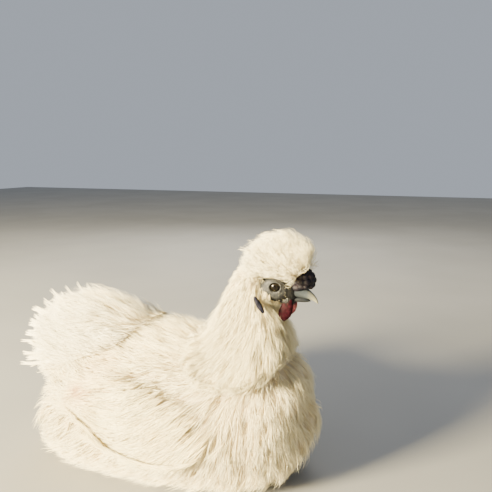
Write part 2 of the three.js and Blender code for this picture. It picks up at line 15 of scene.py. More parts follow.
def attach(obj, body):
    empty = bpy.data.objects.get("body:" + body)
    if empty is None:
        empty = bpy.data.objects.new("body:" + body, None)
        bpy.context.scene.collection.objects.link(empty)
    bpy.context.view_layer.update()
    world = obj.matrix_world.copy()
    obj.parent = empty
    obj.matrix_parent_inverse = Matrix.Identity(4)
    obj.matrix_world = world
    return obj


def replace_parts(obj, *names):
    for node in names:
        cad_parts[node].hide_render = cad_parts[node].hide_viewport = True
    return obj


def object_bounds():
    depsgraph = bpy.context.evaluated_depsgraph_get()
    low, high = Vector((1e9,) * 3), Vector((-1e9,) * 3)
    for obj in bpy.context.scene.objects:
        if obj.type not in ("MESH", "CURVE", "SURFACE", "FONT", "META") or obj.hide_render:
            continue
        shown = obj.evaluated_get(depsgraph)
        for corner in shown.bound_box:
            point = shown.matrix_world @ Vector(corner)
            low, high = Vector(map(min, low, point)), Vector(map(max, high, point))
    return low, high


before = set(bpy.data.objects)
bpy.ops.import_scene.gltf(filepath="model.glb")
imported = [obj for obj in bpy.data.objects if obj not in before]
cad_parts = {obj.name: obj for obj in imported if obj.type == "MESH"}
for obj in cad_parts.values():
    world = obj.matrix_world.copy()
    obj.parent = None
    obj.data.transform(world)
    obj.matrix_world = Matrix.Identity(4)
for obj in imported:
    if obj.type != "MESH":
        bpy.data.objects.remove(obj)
cad_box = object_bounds()

COAT_SHARE = 1.0  # how much of the coat is grown
PIECE_TRIANGLES = 180_000  # the most in one piece of the coat
ROUND = 2.2  # the power of an oval section: 2 is an ellipse, and more is squarer
COLUMNS = 7  # in a section row
TURN = 6.28  # for random phases

COAT, NECK_COAT, CREST_COAT, TAIL_COAT = 11.0, 10.0, 13.0, 17.0  # how deep the coat is over the skin
HEAD = np.array([89.0, 0.0, 197.0])  # the middle of the head, which its own parts are measured from
EYE = np.array([2.6, 10.0, 2.6])  # the middle of the left eye, from there
EYE_RADIUS = 6.4
TORSO_HALF = 80.0  # half of the torso's height, roughly

# Section rows: place along, height, tilt in degrees, half width, heights above and below the spine, and the
# lower half's squareness where it isn't ROUND
TORSO_ROWS = [
    [133, 84, 0, 0, 0, 0],
    [128, 82, 0, 32, 30, 38],
    [114, 78, 0, 57, 50, 60],
    [90, 74, 0, 75, 66, 72, 2.3],
    [55, 72, 0, 87, 72, 77, 2.4],
    [10, 70, 0, 93, 74, 75, 2.7],
    [-40, 70, 0, 93, 80, 75, 3.2],
    [-85, 65, 0, 88, 78, 70, 3.6],
    [-120, 56, 0, 81, 66, 60, 3.6],
    [-148, 47, 0, 70, 49, 46, 3.1],
    [-168, 40, 0, 50, 30, 35, 2.6],
    [-178, 36, 0, 0, 0, 0, 2.4],
]
NECK_ROWS = [
    [66, 221, -90, 0, 0, 0],
    [66, 215, -90, 22, 15, 14],
    [64, 204, -90, 28, 22, 21],
    [62, 189, -90, 31, 27, 28],
    [62, 172, -90, 38, 37, 37],
    [61, 155, -90, 46, 46, 42],
    [60, 138, -90, 57, 51, 47],
    [57, 121, -90, 72, 52, 52],
    [54, 104, -90, 60, 40, 44],
    [52, 95, -90, 0, 0, 0],
]
CREST_ROWS = [
    [129, 222, 0, 0, 0, 0],
    [126, 221, 0, 17, 16, 16],
    [115, 217, 0, 27, 29, 22],
    [99, 216, 0, 32, 36, 24],
    [82, 216, 0, 34, 34, 22],
    [67, 216, 0, 29, 24, 18],
    [57, 216, 0, 17, 13, 12],
    [52, 216, 0, 0, 0, 0],
]
TAIL_ROWS = [
    [-48, 100, -33, 0, 0, 0],
    [-60, 107, -33, 50, 40, 40],
    [-84, 121, -30, 64, 44, 56],
    [-112, 129, -20, 62, 46, 74],
    [-145, 126, -5, 54, 49, 82],
    [-176, 117, 3, 42, 42, 76],
    [-196, 108, 6, 26, 30, 56],
    [-206, 102, 8, 0, 0, 0],
]
HEAD_ROWS = [
    [-24, 3, 0, 0, 0, 0],
    [-20, 3, 0, 10, 10, 10],
    [-8, 2, 0, 15.5, 13, 15],
    [4, 1, 0, 15.5, 12, 16],
    [13, -1, 0, 11.5, 9.5, 13.5],
    [20, -3, 0, 8, 6, 9.5],
    [24, -4, 0, 0, 0, 0],
]
BEAK_UPPER_ROWS = [
    [10, -3, 0, 0, 0, 0],
    [14, -3, 0, 8, 6, 5.5],
    [22, -3, 0, 7.4, 6.4, 5.6],
    [30, -4.5, 0, 5.4, 5.4, 4.6],
    [36.5, -7.5, 0, 3.2, 3.8, 3.2],
    [40.5, -11, 0, 1.5, 2.2, 1.8],
    [42, -13.6, 0, 0, 0, 0],
]
BEAK_LOWER_ROWS = [
    [9, -10.6, 0, 0, 0, 0],
    [12, -10.4, 0, 6.2, 3.4, 3.4],
    [22, -10.2, 0, 5.6, 3.2, 3.0],
    [30, -10.6, 0, 3.9, 2.6, 2.2],
    [35, -11.8, 0, 0, 0, 0],
]


# Small helpers
def mix(a, b, s):
    return a + (b - a) * s


def smooth(x, low, high):
    s = np.clip((x - low) / (high - low), 0, 1)
    return s * s * (3 - 2 * s)


def unit(v):
    return v / np.maximum(np.linalg.norm(v, axis=-1, keepdims=True), 1e-9)


def turned(v, axis, angle):
    """Vectors turned about unit axes by an angle each."""
    c, s = np.cos(angle)[:, None], np.sin(angle)[:, None]
    along = np.sum(v * axis, axis=1, keepdims=True)
    return v * c + np.cross(axis, v) * s + axis * along * (1 - c)


def near(p, centre, radii):
    return np.sum(((p - centre) / radii) ** 2, axis=-1)


class Form:
    """Oval sections along a spine, read between rows by a smooth curve."""

    END_GAP = 0.04  # how near an end slopes are read, in rows
    ALONG_STEP, AROUND_STEP = 0.03, 0.04  # how far each way they reach, in rows and radians
    POLE_GAP = 0.12  # from an end to a skin's first ring, in rows

    def __init__(self, rows, depth=lambda t, angle: 0.0, origin=(0, 0, 0), floor=-1e9):
        self.rows = np.array([row + [ROUND] * (COLUMNS - len(row)) for row in rows], float)
        self.last = len(rows) - 1
        self.depth = depth
        self.origin = np.array(origin, float)
        self.floor = floor

    def section(self, t):
        """The columns of the rows, read at any place between them."""
        s = np.clip(t, 0, self.last)
        i = np.minimum(s.astype(int), self.last - 1)
        f = (s - i)[:, None]
        a, b, c, d = (self.rows[np.clip(i + k, 0, self.last)] for k in (-1, 0, 1, 2))
        return (b + 0.5 * f * (c - a + f * (2 * a - 5 * b + 4 * c - d + f * (3 * (b - c) + d - a)))).T

    def bare(self, t, angle):
        """Points on the sections themselves."""
        x, z, tilt, width, above, below, square = self.section(t)
        c, s = np.cos(angle), np.sin(angle)
        power = 2 / np.where(s > 0, ROUND, square)
        side = np.sign(c) * np.abs(c) ** power * np.maximum(width, 0)
        up = np.sign(s) * np.abs(s) ** power * np.maximum(np.where(s > 0, above, below), 0)
        turn = np.radians(tilt)
        return np.stack([x - up * np.sin(turn), side, z + up * np.cos(turn)], axis=1) + self.origin

    def tangents(self, t, angle):
        """Slopes along and around the sections, and the outward normal."""
        s = np.clip(t, self.END_GAP, self.last - self.END_GAP)
        ahead, behind = self.bare(s + self.ALONG_STEP, angle), self.bare(s - self.ALONG_STEP, angle)
        along = (ahead - behind) / (2 * self.ALONG_STEP)
        ahead, behind = self.bare(s, angle + self.AROUND_STEP), self.bare(s, angle - self.AROUND_STEP)
        around = (ahead - behind) / (2 * self.AROUND_STEP)
        normal = unit(np.cross(along, around))
        x, z = self.section(s)[:2]
        outward = self.bare(s, angle) - self.origin - np.stack([x, 0 * x, z], axis=1)
        normal *= np.where(np.sum(normal * outward, axis=1, keepdims=True) < 0, -1, 1)
        return along, around, normal

    def point(self, t, angle, extra=0.0):
        """Points on the skin, which lies at the form's depth, or extra above it."""
        normal = self.tangents(t, angle)[2]
        lift = self.depth(t, angle) + extra + 0 * t
        p = self.bare(t, angle) + normal * lift[:, None]
        p[:, 2] = np.maximum(p[:, 2], self.floor)
        return p

    def walk(self, t, angle, heading, step):
        """The places a step further along each heading, kept on the surface."""
        along, around, _ = self.tangents(t, angle)
        aa, rr, ar = (np.sum(u * v, axis=1) for u, v in ((along, along), (around, around), (along, around)))
        ha, hr = np.sum(heading * along, axis=1), np.sum(heading * around, axis=1)
        det = np.maximum(aa * rr - ar * ar, 1e-6)
        dt, da = (ha * rr - hr * ar) / det, (hr * aa - ha * ar) / det
        moved = np.linalg.norm(along * dt[:, None] + around * da[:, None], axis=1)
        scale = step / np.maximum(moved, 1e-6)
        t, angle = t + dt * scale, angle + da * scale
        through = t < 0
        return np.where(through, -t, t), np.where(through, angle + math.pi, angle)

    def grid(self, rings, around):
        """Points of a closed skin: rings from pole to pole, and its faces."""
        t = np.repeat(np.linspace(self.POLE_GAP, self.last - self.POLE_GAP, rings), around)
        angle = np.tile(np.arange(around) / around * 2 * math.pi, rings)
        body = self.point(t, angle).reshape(rings, around, 3)
        return skin_rings(body[0].mean(axis=0), body, body[-1].mean(axis=0))


def skin_rings(start, rings, end):
    """A closed surface over rings of equal length between two end points."""
    count, around, _ = rings.shape
    points = np.concatenate([[start], rings.reshape(-1, 3), [end]])
    final = len(points) - 1
    faces = []
    for i in range(around):
        j = (i + 1) % around
        faces.append((0, 1 + j, 1 + i))
        faces.append((final, 1 + (count - 1) * around + i, 1 + (count - 1) * around + j))
        for ring in range(count - 1):
            low, high = 1 + ring * around, 1 + (ring + 1) * around
            faces.append((low + i, low + j, high + j, high + i))
    return points, faces


# Meshes and objects
def linked(name, data):
    """A new object in the scene."""
    thing = bpy.data.objects.new(name, data)
    bpy.context.scene.collection.objects.link(thing)
    return thing


def add_mesh(name, points, faces):
    mesh = bpy.data.meshes.new(name)
    mesh.from_pydata((points / 1000).tolist(), [], faces)
    mesh.validate()
    mesh.shade_smooth()
    return linked(name, mesh)


def add_values(mesh, name, values):
    """A value at each point of a mesh, for its paint to read."""
    mesh.attributes.new(name, "FLOAT", "POINT").data.foreach_set("value", values.astype(np.float32))


def fused(thing, voxel, rounds):
    """Everything in one mesh melted into one smooth surface."""
    melt = thing.modifiers.new("melt", "REMESH")
    melt.mode = "VOXEL"
    melt.voxel_size = voxel / 1000
    ease = thing.modifiers.new("ease", "SMOOTH")
    ease.iterations = rounds
    ease.factor = 0.5
    graph = bpy.context.evaluated_depsgraph_get()
    mesh = bpy.data.meshes.new_from_object(thing.evaluated_get(graph))
    thing.modifiers.clear()
    thing.data = mesh
    mesh.shade_smooth()
    return thing


def joined(name, parts):
    """One mesh object from (points, faces) pairs."""
    points, faces, base = [], [], 0
    for part_points, part_faces in parts:
        points.append(part_points)
        faces += [tuple(base + i for i in face) for face in part_faces]
        base += len(part_points)
    return add_mesh(name, np.concatenate(points), faces)


def ball(centre, radii, around=20, rings=12):
    """An ellipsoid's points and faces."""
    theta = np.linspace(0, math.pi, rings + 2)[1:-1, None]
    phi = np.arange(around) / around * 2 * math.pi
    x, y, z = np.sin(theta) * np.cos(phi), np.sin(theta) * np.sin(phi), np.cos(theta) + 0 * phi
    centre, radii = np.array(centre, float), np.array(radii, float)
    pole = radii * (0, 0, 1)
    return skin_rings(centre + pole, np.stack([x, y, z], axis=2) * radii + centre, centre - pole)


def on_head(x, y, z):
    return HEAD + (x, y, z)


# Materials, all of them procedural
class Paint:
    """A material with a principled shader and short ways to add nodes."""

    def __init__(self, name, roughness, **constants):
        self.material = bpy.data.materials.new(name)
        self.material.use_nodes = True
        tree = self.material.node_tree
        self.nodes, self.links = tree.nodes, tree.links
        self.shader = self.nodes["Principled BSDF"]
        self.shader.inputs["Roughness"].default_value = roughness
        for key, value in constants.items():
            self.shader.inputs[key.replace("_", " ")].default_value = value

    def node(self, kind, **values):
        made = self.nodes.new(kind)
        for key, value in values.items():
            if key in made.inputs:
                made.inputs[key].default_value = value
            else:
                setattr(made, key, value)
        return made

    def ramp(self, source, *stops):
        made = self.nodes.new("ShaderNodeValToRGB")
        while len(made.color_ramp.elements) < len(stops):
            made.color_ramp.elements.new(0.5)
        for element, (place, colour) in zip(made.color_ramp.elements, stops):
            element.position = place
            element.color = (*colour, 1)
        self.links.new(source, made.inputs["Fac"])
        return made.outputs["Color"]

    def attribute(self, name):
        return self.node("ShaderNodeAttribute", attribute_name=name).outputs["Fac"]

    def texture(self, kind, output, **values):
        place = self.nodes.new("ShaderNodeTexCoord")
        made = self.node(kind, **values)
        self.links.new(place.outputs["Object"], made.inputs["Vector"])
        return made.outputs[output]

    def noise(self, scale, detail, rough=0.55):
        return self.texture("ShaderNodeTexNoise", "Fac", Scale=scale, Detail=detail, Roughness=rough)

    def cells(self, scale):
        return self.texture("ShaderNodeTexVoronoi", "Distance", Scale=scale)

    def blend(self, how, factor, first, second):
        made = self.node("ShaderNodeMix", data_type="RGBA", blend_type=how)
        for slot, value in ((0, factor), (6, first), (7, second)):
            if isinstance(value, bpy.types.NodeSocket):
                self.links.new(value, made.inputs[slot])
            else:
                made.inputs[slot].default_value = value if slot == 0 else (*value, 1)
        return made.outputs[2]

    def on(self, thing):
        thing.data.materials.append(self.material)
        return thing

    def colour(self, source):
        self.links.new(source, self.shader.inputs["Base Color"])

    def bump(self, height, strength, distance):
        made = self.node("ShaderNodeBump", Strength=strength, Distance=distance)
        self.links.new(height, made.inputs["Height"])
        self.links.new(made.outputs["Normal"], self.shader.inputs["Normal"])


def plume_paint(name, root, middle, tip, stain, stain_share):
    """White plumage, darker and warmer at the roots as painted shade, stained in patches, varying a little by
    strand.
    """
    paint = Paint(name, roughness=0.62, Sheen_Weight=0.25, Sheen_Roughness=0.4)
    # darker, warmer roots: painted shade deep in the coat
    base = paint.ramp(paint.attribute("along"), (0.0, root), (0.45, middle), (1.0, tip))
    tones = (0.0, (0.86, 0.84, 0.80)), (0.5, (0.97, 0.96, 0.94)), (1.0, (1, 1, 1))
    shaded = paint.blend("MULTIPLY", 1.0, base, paint.ramp(paint.attribute("tint"), *tones))
    patch = paint.ramp(paint.noise(22, 3), (0.48, (0, 0, 0)), (0.75, (stain_share,) * 3))
    stained = paint.blend("MIX", patch, shaded, stain)
    # the warm value browns the plumage: painted shade in the groove, and rust on the spot
    browns = (0.0, (0.90, 0.69, 0.41)), (0.5, (0.86, 0.62, 0.33)), (1.0, (0.50, 0.27, 0.11))
    rust_and_groove_shade = paint.ramp(paint.attribute("warm"), *browns)
    paint.colour(paint.blend("MIX", paint.attribute("warm"), stained, rust_and_groove_shade))
    return paint


# Root, middle and tip of a strand, the stain and the most of it; the darker roots are painted shade in the
# coat
PLUME_COLOURS = {
    "plumage": ((0.94, 0.77, 0.45), (0.97, 0.87, 0.57), (0.985, 0.92, 0.65), (0.94, 0.78, 0.45), 0.4),
    "hackle": ((0.95, 0.80, 0.48), (0.975, 0.88, 0.58), (0.985, 0.92, 0.64), (0.95, 0.81, 0.48), 0.35),
    "crest_plumage": ((0.955, 0.83, 0.54), (0.98, 0.90, 0.62), (0.99, 0.93, 0.68), (0.955, 0.85, 0.54), 0.25),
    "tail_plumage": ((0.95, 0.82, 0.52), (0.975, 0.90, 0.66), (0.99, 0.945, 0.77), (0.94, 0.79, 0.48), 0.3),
    "wing_plumage": ((0.92, 0.74, 0.37), (0.96, 0.86, 0.51), (0.98, 0.92, 0.64), (0.90, 0.73, 0.35), 0.5),
}
WHITE, NECK_WHITE, CREST_WHITE, TAIL_WHITE, WING_WHITE = (
    plume_paint(name, *colours) for name, colours in PLUME_COLOURS.items()
)


# The coat. A strand is a closed three-sided blade; a plume is a fan of strands along one bent shaft.
TRIES_EACH = 12  # random places for each plume
KEEP_HEIGHT = 8.0  # above the form, where keep looks
SHAFT_STEPS, STRAND_STEPS = 7, 4  # points along each
ROOT_DEPTH = 1.5  # how far under the skin a plume starts
STRAY_SHARE, STRAY_REACH = 0.12, 1.25  # plumes that stand out of the coat
TAPER_AT, TAPER = [0, 0.2, 0.7, 1], [0.5, 0.5, 0.36, 0.0]  # half the width along a strand
RIDGE = 0.55  # a strand's thickness as a share of its half width
BOX_MARGIN = 4.0  # how near the solids' box strands bend back
FLOOR_GAP = 0.25  # the least height of a strand
BAKE_PATCH, BAKE_SPREAD = 0.003, 0.99  # the size on the bake map of a strand, and of all roots together


def add_strands(name, paths, normals, width, roots, tint, warm, paint, slot="plumage"):
    """Mesh pieces for strands with paths (n, k, 3), each with its root's place on the skin's unwrap."""
    count, steps, _ = paths.shape
    per_strand = 6 * (steps - 2) + 4
    order = np.argsort(roots[:, 0], kind="stable")
    pieces = max(1, math.ceil(count * per_strand / PIECE_TRIANGLES))
    for k, chosen in enumerate(np.array_split(order, pieces)):
        columns = (each[chosen] for each in (paths, normals, width, roots, tint, warm))
        piece = paint.on(strand_mesh(f"{name}_{k + 1}", *columns))
        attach(piece, "root")


def in_box(points):
    """Points eased back inside the solids' box, so no tip leaves it."""
    low, high = (np.array(corner) * 1000 for corner in cad_box)
    past = points - (high - BOX_MARGIN)
    points = np.where(past > 0, high - BOX_MARGIN * np.exp(-np.maximum(past, 0) / BOX_MARGIN), points)
    short = (low + BOX_MARGIN) - points
    short[..., 2] = -1
    return np.where(short > 0, low + BOX_MARGIN * np.exp(-np.maximum(short, 0) / BOX_MARGIN), points)


def blade_points(paths, normals, width):
    """Three points round each place of a path, and one at its tip."""
    ahead = unit(np.gradient(paths, axis=1))
    side = unit(np.cross(normals, ahead))
    up = np.cross(ahead, side)
    share = np.linspace(0, 1, paths.shape[1])
    half = (width[:, None] * np.interp(share, TAPER_AT, TAPER))[..., None]
    ring = np.stack([paths + side * half, paths + up * half * RIDGE, paths - side * half], axis=2)
    points = np.concatenate([ring[:, :-1].reshape(len(paths), -1, 3), paths[:, -1:]], axis=1)
    points[..., 2] = np.maximum(points[..., 2], FLOOR_GAP)
    return points


def blade_faces(steps):
    """A strand's sides, tip and root, by the numbers of its points."""
    sides = ((0, 1), (1, 2), (2, 0))
    quads = [(3 * r + a, 3 * r + b, 3 * r + 3 + b, 3 * r + 3 + a) for r in range(steps - 2) for a, b in sides]
    end = 3 * (steps - 2)
    tips = [(end + a, end + b, end + 3) for a, b in sides]
    return quads + tips + [(2, 1, 0)]


def strand_mesh(name, paths, normals, width, roots, tint, warm):
    """One mesh of many strands, with its paint's values and the map for baking."""
    count, steps, _ = paths.shape
    points = blade_points(in_box(paths), normals, width)
    faces = blade_faces(steps)
    per = points.shape[1]
    loop_index = (np.arange(count)[:, None] * per + np.concatenate(faces)).ravel()
    loop_total = np.tile([len(face) for face in faces], count)
    loop_start = np.concatenate([[0], np.cumsum(loop_total)[:-1]])

    mesh = bpy.data.meshes.new(name)
    mesh.vertices.add(count * per)
    mesh.vertices.foreach_set("co", (points / 1000).ravel().astype(np.float32))
    mesh.loops.add(len(loop_index))
    mesh.loops.foreach_set("vertex_index", loop_index.astype(np.int32))
    mesh.polygons.add(len(loop_total))
    mesh.polygons.foreach_set("loop_start", loop_start.astype(np.int32))
    mesh.polygons.foreach_set("loop_total", loop_total.astype(np.int32))
    mesh.update(calc_edges=True)
    mesh.shade_smooth()

    along = np.append(np.repeat(np.linspace(0, 1, steps)[:-1], 3), 1.0)
    across = np.append(np.tile([0.0, 0.5, 1.0], steps - 1), 0.5)
    add_values(mesh, "along", np.tile(along, count))
    add_values(mesh, "tint", np.repeat(tint, per))
    add_values(mesh, "warm", np.repeat(warm, per))
    patch = np.stack([across, along], axis=1)[None] * BAKE_PATCH + roots[:, None, :] * BAKE_SPREAD
    uv = mesh.uv_layers.new(name="OFBake")
    uv.data.foreach_set("uv", patch.reshape(-1, 2)[loop_index].ravel().astype(np.float32))
    return linked(name, mesh)


def unwrap(share, angle):
    """Places on the skin's unwrap, from the share of its length and the angle round it."""
    return np.stack([share, np.mod(angle / (2 * math.pi), 1)], axis=1)


def scatter(form, count, rng, t_range, keep):
    """Random places on a form, evenly by area, where keep allows them."""
    count = int(count * COAT_SHARE)
    tries = count * TRIES_EACH
    t = rng.uniform(*t_range, tries)
    angle = rng.uniform(0, 2 * math.pi, tries)
    area = np.linalg.norm(np.cross(*form.tangents(t, angle)[:2]), axis=1)
    chosen = rng.uniform(0, np.quantile(area, 0.97), tries) < area
    chosen &= keep(form.point(t, angle, KEEP_HEIGHT), t, angle)
    picked = np.flatnonzero(chosen)[:count]
    return t[picked], angle[picked]


def waves(p, scale, seed):
    """A smooth wandering value at each point, mostly between -1 and 1."""
    rng = default_rng(seed)
    total = np.zeros(len(p))
    for _ in range(5):
        direction = rng.normal(size=3)
        total += np.sin(p @ direction / scale + rng.uniform(0, TURN))
    return total / 3.2


def shafts(form, t, angle, lie, length, rise, rng, lock, sway, early=0.75, curl=0.0):
    """Bent paths that leave the surface at their roots, lean into locks and rise to the coat's outside.

    A lock gathers the paths of a patch: lock holds the patch's size along and around, and the pull. The paths
    swing aside by sway; early is how soon they have risen, and curl lifts their tips.
    """
    count = len(t)
    lock_t = np.round(t / lock[0] + 0.37 * np.sin(angle * 5)) * lock[0]
    lock_angle = np.round(angle / lock[1] + 0.3 * np.sin(t * 4)) * lock[1]
    pull_t, pull_angle = (lock_t - t) * lock[2], (lock_angle - angle) * lock[2]
    root = form.point(t, angle)
    swing = sway * (waves(root, 14, 4) + waves(root, 38, 5)) + rng.normal(0, sway * 0.4, count)
    height = rise * rng.uniform(0.6, 1.06, count)
    height *= np.where(rng.uniform(0, 1, count) < STRAY_SHARE, STRAY_REACH, 1.0)
    step = length / (SHAFT_STEPS - 1)
    curl = curl * np.ones(count)
    paths, normals = [], []
    for i in range(SHAFT_STEPS):
        s = i / (SHAFT_STEPS - 1)
        lift = mix(-ROOT_DEPTH, height, 1.08 * smooth(s * early + 0.12, 0, 1))
        place = (t + pull_t * s**1.4, angle + pull_angle * s**1.4)
        normal = form.tangents(*place)[2]
        p = form.point(*place, lift)
        heading = turned(unit(lie(p)), normal, swing * s)
        if i:
            past_end = (t > form.last - 0.5)[:, None]
            onward = unit(unit(paths[-1] - paths[-2]) + 0.25 * heading) if i > 1 else heading
            p = np.where(past_end, paths[-1] + onward * step[:, None], p)
            p += normal * (curl * s * s)[:, None] * step[:, None]
        t, angle = form.walk(t, angle, heading, step)
        paths.append(p)
        normals.append(normal)
    return np.stack(paths, axis=1), np.stack(normals, axis=1)


def along_path(values, s):
    """Values (n, k, 3) read at shares s (n, m) of their length."""
    last = values.shape[1] - 1
    place = np.clip(s, 0, 1) * last
    i = np.minimum(place.astype(int), last - 1)
    f = (place - i)[..., None]
    rows = np.arange(len(values))[:, None]
    return values[rows, i] * (1 - f) + values[rows, i + 1] * f


def fan(paths, normals, barbs, spread, rng, frizz, start=0.55, length_share=(0.55, 1.0)):
    """Strands that leave each shaft on both sides, before its start share, and sweep forward with it."""
    owner = np.repeat(np.arange(len(paths)), barbs)
    count = len(owner)
    sideways = rng.uniform(-1, 1, count)
    leave = rng.uniform(0, start, count) * np.abs(sideways) ** 0.5
    reach = leave + rng.uniform(*length_share, count) * (1.02 - 0.35 * np.abs(sideways))
    u = np.linspace(0, 1, STRAND_STEPS)
    s = leave[:, None] + (np.clip(reach, 0.3, 1.0) - leave)[:, None] * u
    centre = along_path(paths[owner], s)
    normal = unit(along_path(normals[owner], s))
    ahead = unit(np.gradient(centre, axis=1))
    side = unit(np.cross(normal, ahead))
    width = np.broadcast_to(spread, len(paths))[owner]
    phase = rng.uniform(0, TURN, (2, count, 1))
    wobble = frizz * u * np.sin(u * rng.uniform(2, 6, (count, 1)) + phase[0])
    lifted = frizz * u * np.sin(u * rng.uniform(2, 5, (count, 1)) + phase[1]) * 0.8
    offset = (sideways * width)[:, None] * (1 - (1 - u) ** 2) + wobble
    return centre + side * offset[..., None] + normal * lifted[..., None], normal, owner


# Shapes the coat grows on. Each lies under the coat's outside by the coat's depth there.
def off_belly(angle):
    """0 on the belly's flat, and 1 from the lower flanks up."""
    return smooth(np.sin(angle), -0.95, -0.45)


def neck_share(t):
    """How deep the neck's coat is along it, as a share of its full depth."""
    return mix(0.4, 1, smooth(t, 1, 4))


def tail_share(t):
    """The same for the tail."""
    return mix(0.35, 1, smooth(t, 0.6, 3.0))


torso = Form(TORSO_ROWS, lambda t, angle: -COAT * off_belly(angle), floor=0.6)
neck = Form(NECK_ROWS, lambda t, angle: -NECK_COAT * neck_share(t))
crest = Form(CREST_ROWS, lambda t, angle: -CREST_COAT)
tail = Form(TAIL_ROWS, lambda t, angle: -TAIL_COAT * tail_share(t))
flank = Form(TORSO_ROWS)
head = Form(HEAD_ROWS, origin=HEAD)


def inside_torso(p):
    """How far out each point is in the torso's section at its place: 1 is the coat's outside."""
    rows = torso.rows[::-1]
    x = np.clip(p[..., 0], rows[0, 0], rows[-1, 0])
    middle, width, above, below, square = (np.interp(x, rows[:, 0], rows[:, k]) for k in (1, 3, 4, 5, 6))
    up = p[..., 2] - middle
    high = np.where(up > 0, above, below)
    power = np.where(up > 0, ROUND, square)
    ratio = (np.abs(p[..., 1]) / np.maximum(width, 4)) ** power + (np.abs(up) / np.maximum(high, 4)) ** power
    return ratio ** (1 / power), middle


def over_torso(p, lift):
    """Points moved out of the torso onto its coat."""
    share, middle = inside_torso(p)
    goal = 1 + lift / TORSO_HALF
    scale = np.where(share < goal, goal / np.maximum(share, 0.35), 1.0)
    moved = p.copy()
    moved[..., 1] *= scale
    moved[..., 2] = middle + (p[..., 2] - middle) * scale
    return np.where((share < goal)[..., None], moved, p)


# Which way plumage points at a place
GROOVE_X, GROOVE_Z, GROOVE_SLOPE = -55, 148, 0.55  # the groove's upper end, and how fast it runs back


def behind_groove(p):
    """How far a point lies behind the groove that runs down from the saddle to the wing's tip."""
    return GROOVE_X - p[..., 0] - GROOVE_SLOPE * (GROOVE_Z - p[..., 2])


def rump_share(p):
    """Where the body's plumage turns up and back and joins the tail's."""
    return smooth(behind_groove(p), 0, 30) * smooth(p[..., 2], 55, 85)


def warmth(p):
    """Painted warm shade in the groove, and a rusty spot above the wing's tip on the right side."""
    # painted shade: a soft warm shadow along the groove where the rump meets the tail
    groove = np.exp(-((behind_groove(p) / 20) ** 2)) * smooth(-p[..., 0], 30, 60)
    groove *= smooth(p[..., 2], 60, 100) * smooth(145 - p[..., 2], 0, 25)
    spot = np.exp(-near(p, (-84, -80, 96), (9, 14, 7)))
    return np.clip(0.4 * groove + 0.9 * spot, 0, 1)


def directions(x, y, z):
    """Directions from three parts, any of which may be one number for all."""
    return np.stack(np.broadcast_arrays(x, y, z), axis=-1)


def body_lie(p):
    front = smooth(p[:, 0], 20, 120)
    low = smooth(110 - p[:, 2], 0, 60)
    floor = smooth(45 - p[:, 2], 0, 40)
    side = smooth(np.abs(p[:, 1]), 25, 70)
    down = (-0.12 - 0.3 * side - 0.55 * low - 1.5 * front) * (1 - 0.85 * floor)
    return directions(-1 + 0.75 * front * (1 - floor), 0.0, mix(down, 0.45, rump_share(p)))


def neck_lie(p):
    return directions(-0.25 + 0.004 * (p[:, 0] - 62), 0.004 * p[:, 1], -1.0)


def throat_lie(p):
    return directions(-0.15, 0.012 * p[:, 1], -1.0)


def bristle_lie(p):
    return directions(-1.0, 0.0 * p[:, 1], -0.5)


def crest_lie(p):
    return p - (121, 0, 203)


def tail_lie(p):
    return p - (-54, 0, 110)


# The wing's place on the flank: u from shoulder to tip, across from its lower (-1) to its upper edge (1).
# Shoulder and tip are places along the torso's rows, and girth is how far the wing is from the spine.
WING_SHOULDER, WING_TIP, WING_HALF, WING_GIRTH = 3.9, 7.55, 33.0, 88.0


def wing_section(u):
    """The angle of the wing's middle and its half height at a share of its length."""
    inner = np.clip(u, 0.001, 0.999)
    half = WING_HALF * np.maximum(np.sin(math.pi * inner**0.72), 0) ** 0.75
    return np.radians(mix(4, 17, inner**0.7)), half


def wing_coordinates(t, angle):
    """The u and across of places on the flank, on either side."""
    u = (t - WING_SHOULDER) / (WING_TIP - WING_SHOULDER)
    turn = np.mod(angle + math.pi / 2, 2 * math.pi) - math.pi / 2
    turn = np.where(turn > math.pi / 2, math.pi - turn, turn)
    middle, half = wing_section(u)
    return u, (turn - middle) * WING_GIRTH / np.maximum(half, 1)


def wing_lie(p):
    """Wing plumage droops over the shoulder and closes in on the wing's tip."""
    tip_height = 86.0
    closing = np.clip((tip_height - p[:, 2]) * 0.012, -0.5, 0.15)
    return directions(-1.0, 0.0, mix(closing, -1.0, smooth(p[:, 0], -70, 45)))


# Hollows in the coat round the bare parts, on the left side: their middles and radii
EYE_HOLLOWS = (
    (on_head(EYE[0] - 1.5, 40, EYE[2] + 0.2), (10.5, 34, 9.2)),
    (on_head(EYE[0] + 5.5, 40, EYE[2] - 4.5), (9.0, 34, 8.0)),
)
LOBE_HOLLOW = on_head(-7.5, 31, -12.5), (2.3, 9, 7.4)
OTHER_HOLLOWS = (
    (on_head(9, 12, -6), (11, 9, 7.5)),  # the cheek
    (on_head(26, 0, -6), (19, 11, 10.5)),  # the beak
    (on_head(30, 0, 7.5), (10.5, 12, 11.5)),  # the comb
    (on_head(12.5, 9.5, -19), (9, 6, 12)),  # the wattle
)


def off_the_face(p):
    """True where a point keeps clear of the bare parts of the head.

    The hollows round the eye open outwards, up and ahead, and the one over the earlobe leans as it does.
    """
    q = np.abs(p * (0, 1, 0)) + p * (1, 0, 1)
    opening = q - np.maximum(q[..., 1:2] - 14, 0) * (0.28, 0, 0.25)
    leaning = q + (q[..., 2:3] - HEAD[2] + 12.5) * (0.62, 0, 0)
    tests = [(opening, hollow) for hollow in EYE_HOLLOWS] + [(leaning, LOBE_HOLLOW)]
    tests += [(q, hollow) for hollow in OTHER_HOLLOWS]
    return np.all([near(place, *hollow) > 1 for place, hollow in tests], axis=0)


def clear_of_face(paths):
    """The paths, and which of them keep off the face all along."""
    between = (paths[:, 1:] + paths[:, :-1]) / 2
    every = np.concatenate([paths, between], axis=1)
    return paths, off_the_face(every.reshape(-1, 3)).reshape(every.shape[:2]).all(axis=1)


